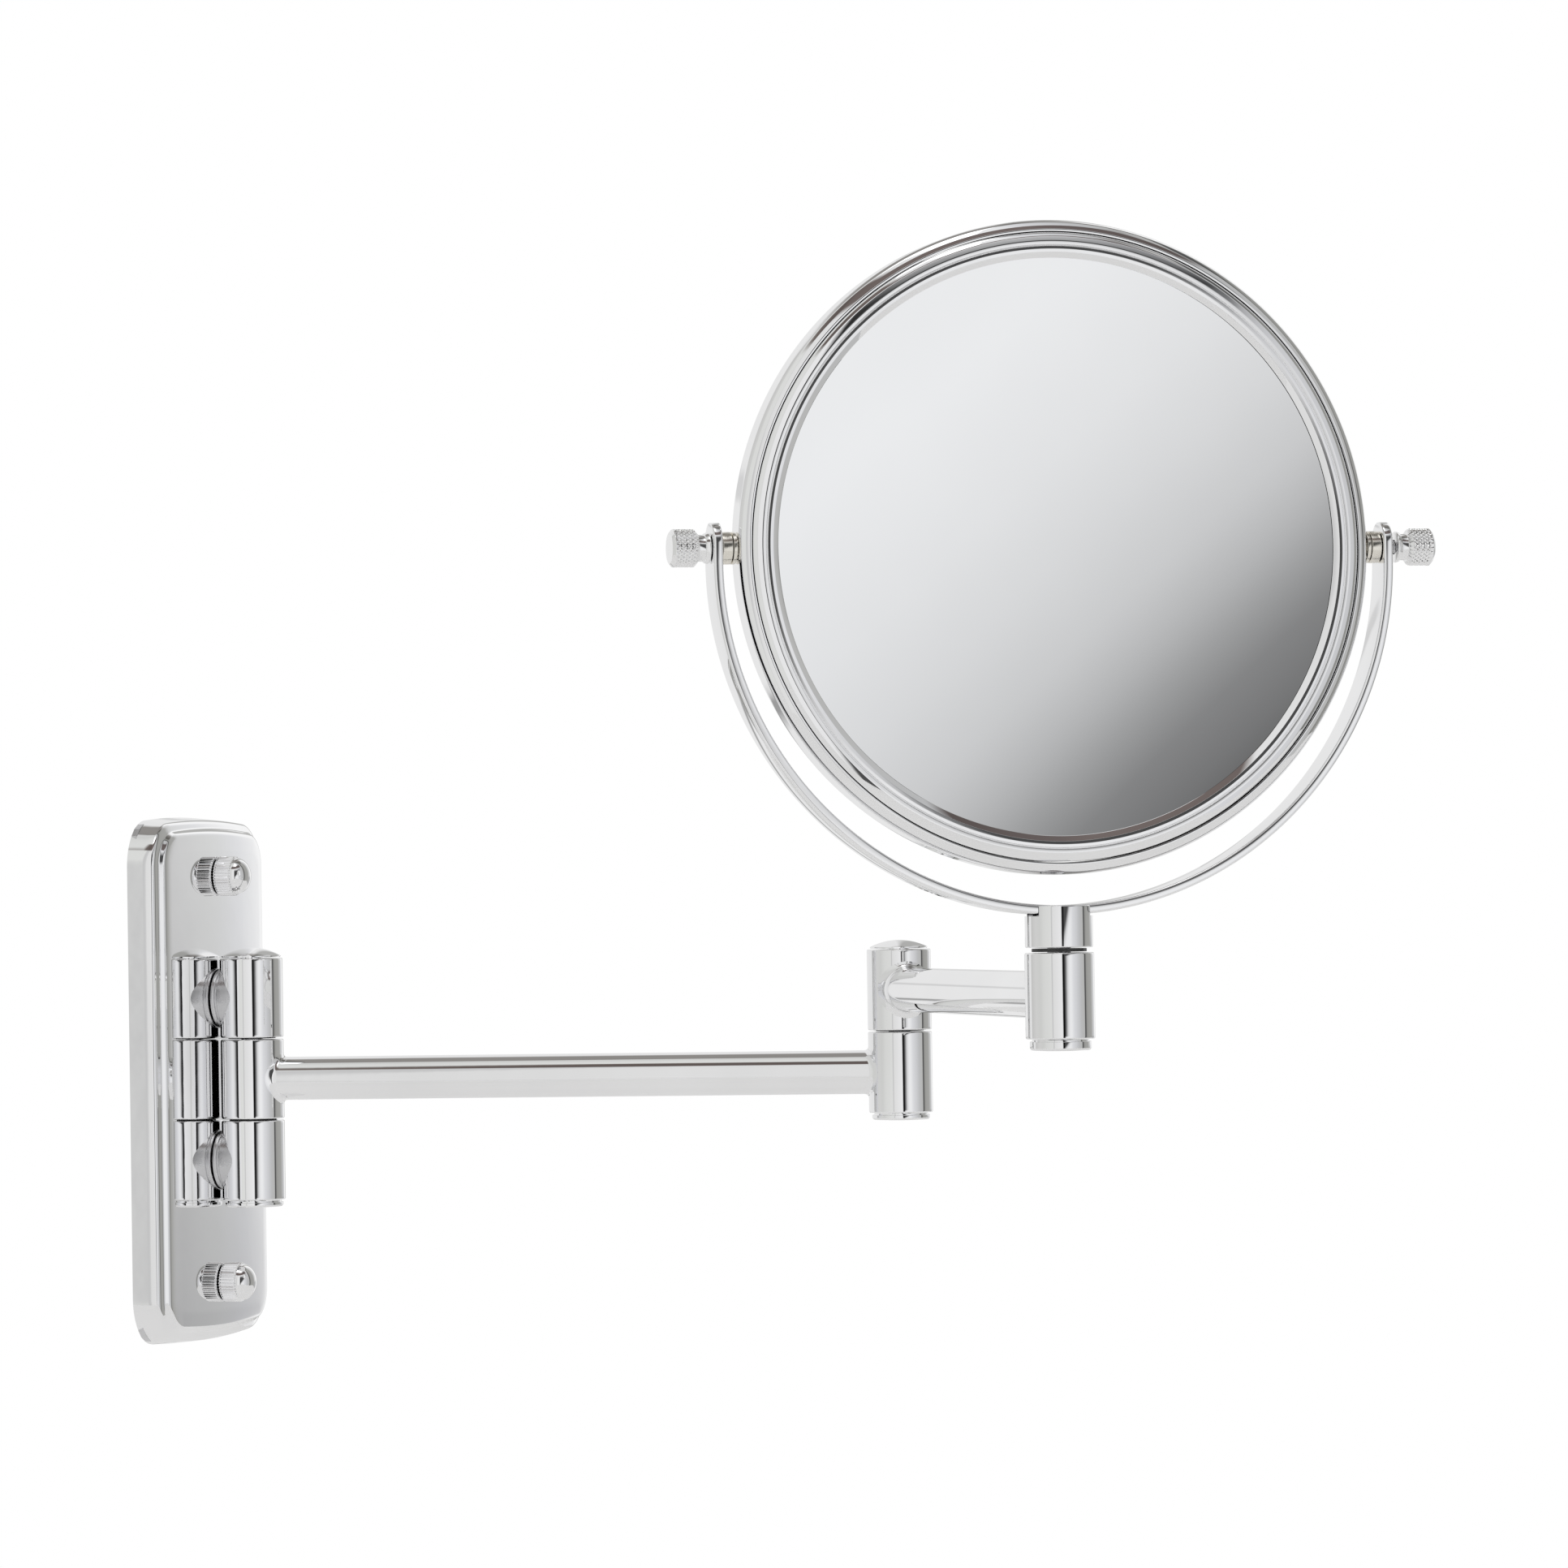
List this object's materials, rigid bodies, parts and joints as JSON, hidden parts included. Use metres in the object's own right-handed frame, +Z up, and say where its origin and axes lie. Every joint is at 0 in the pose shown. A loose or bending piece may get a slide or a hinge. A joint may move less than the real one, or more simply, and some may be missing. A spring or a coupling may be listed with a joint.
{
  "type": "extendable shaving mirror",
  "caption": "Round two-sided shaving mirror on a swivelling yoke, carried by a folding double arm from a hinged wall plate; all chrome with knurled clamp knobs.",
  "frame": {"origin": "on the wall plane, at the centre of the backing plate's back face and level with the first arm", "axes": "+Y into the wall, so the mirror stands out towards -Y; +Z up; +X to the right for someone facing the wall"},
  "size_m": [0.2468, 0.4572, 0.3589],
  "materials": {
    "chrome": "polished",
    "mirror_glass": "silvered glass",
    "nickel": "warm satin nickel",
    "steel": "zinc plated",
    "nylon": "matt",
    "felt": "soft pad"
  },
  "bodies": {
    "wall_mount": {"wall_plate": "chrome", "backing_plate": "steel", "upper_fixing_stud": "steel", "lower_fixing_stud": "steel", "upper_cap_nut": "chrome", "lower_cap_nut": "chrome", "upper_knuckle": "chrome", "lower_knuckle": "chrome", "upper_knuckle_screw": "steel", "lower_knuckle_screw": "steel", "hinge_pin": "steel", "hinge_top_cap": "chrome", "hinge_bottom_cap": "chrome"},
    "first_arm": {"middle_knuckle": "chrome", "first_arm_tube": "chrome", "elbow_lower_barrel": "chrome", "upper_hinge_washer": "nylon", "lower_hinge_washer": "nylon", "elbow_pin": "steel", "elbow_bottom_cap": "chrome"},
    "second_arm": {"elbow_upper_barrel": "chrome", "elbow_top_cap": "chrome", "second_arm_tube": "chrome", "swivel_barrel": "chrome", "elbow_washer": "nylon"},
    "yoke": {"yoke_socket": "chrome", "yoke_strap": "chrome", "strap_screw": "steel", "swivel_pin": "steel", "swivel_washer": "nylon", "swivel_bottom_cap": "chrome"},
    "mirror_head": {"rim_ring": "chrome", "front_bezel": "chrome", "rear_bezel": "chrome", "magnifying_glass": "mirror_glass", "plain_glass": "mirror_glass", "backing_pad": "felt", "left_pivot_insert": "nickel", "right_pivot_insert": "nickel", "left_spacer": "nickel", "right_spacer": "nickel"},
    "left_screw": {"left_knob_screw": "steel"},
    "left_knob": {"left_knob": "chrome"},
    "right_screw": {"right_knob_screw": "steel"},
    "right_knob": {"right_knob": "chrome"}
  },
  "joints": [
    {"name": "wall_hinge", "type": "hinge", "parent": "wall_mount", "child": "first_arm", "pos_m": [0, -0.0249, 0], "axis": [0, 0, 1], "range_deg": [-98, 82]},
    {"name": "elbow_hinge", "type": "hinge", "parent": "first_arm", "child": "second_arm", "pos_m": [0.03145, -0.2487, 0.0279], "axis": [0, 0, 1], "continuous": true},
    {"name": "mirror_swivel", "type": "hinge", "parent": "second_arm", "child": "yoke", "pos_m": [-0.12968, -0.34939, 0.042], "axis": [0, 0, 1], "continuous": true},
    {"name": "mirror_tilt", "type": "hinge", "parent": "yoke", "child": "mirror_head", "pos_m": [-0.12968, -0.34939, 0.1669], "axis": [0.5299, -0.848, 0], "continuous": true},
    {"name": "left_knob_travel", "type": "slide", "parent": "mirror_head", "child": "left_screw", "axis": [-0.5299, 0.848, 0], "range_m": [-0.00002, 0.00322]},
    {"name": "left_knob_turn", "type": "hinge", "parent": "left_screw", "child": "left_knob", "pos_m": [-0.12968, -0.34939, 0.1669], "axis": [-0.5299, 0.848, 0], "range_deg": [0, 1440]},
    {"name": "right_knob_travel", "type": "slide", "parent": "mirror_head", "child": "right_screw", "axis": [0.5299, -0.848, 0], "range_m": [-0.00202, 0.00122]},
    {"name": "right_knob_turn", "type": "hinge", "parent": "right_screw", "child": "right_knob", "pos_m": [-0.12968, -0.34939, 0.1669], "axis": [0.5299, -0.848, 0], "range_deg": [-900, 540]}
  ],
  "couplings": [
    {"joint": "left_knob_travel", "follows": "left_knob_turn", "m_per_rad": 0.00012732},
    {"joint": "right_knob_travel", "follows": "right_knob_turn", "m_per_rad": 0.00012732}
  ]
}
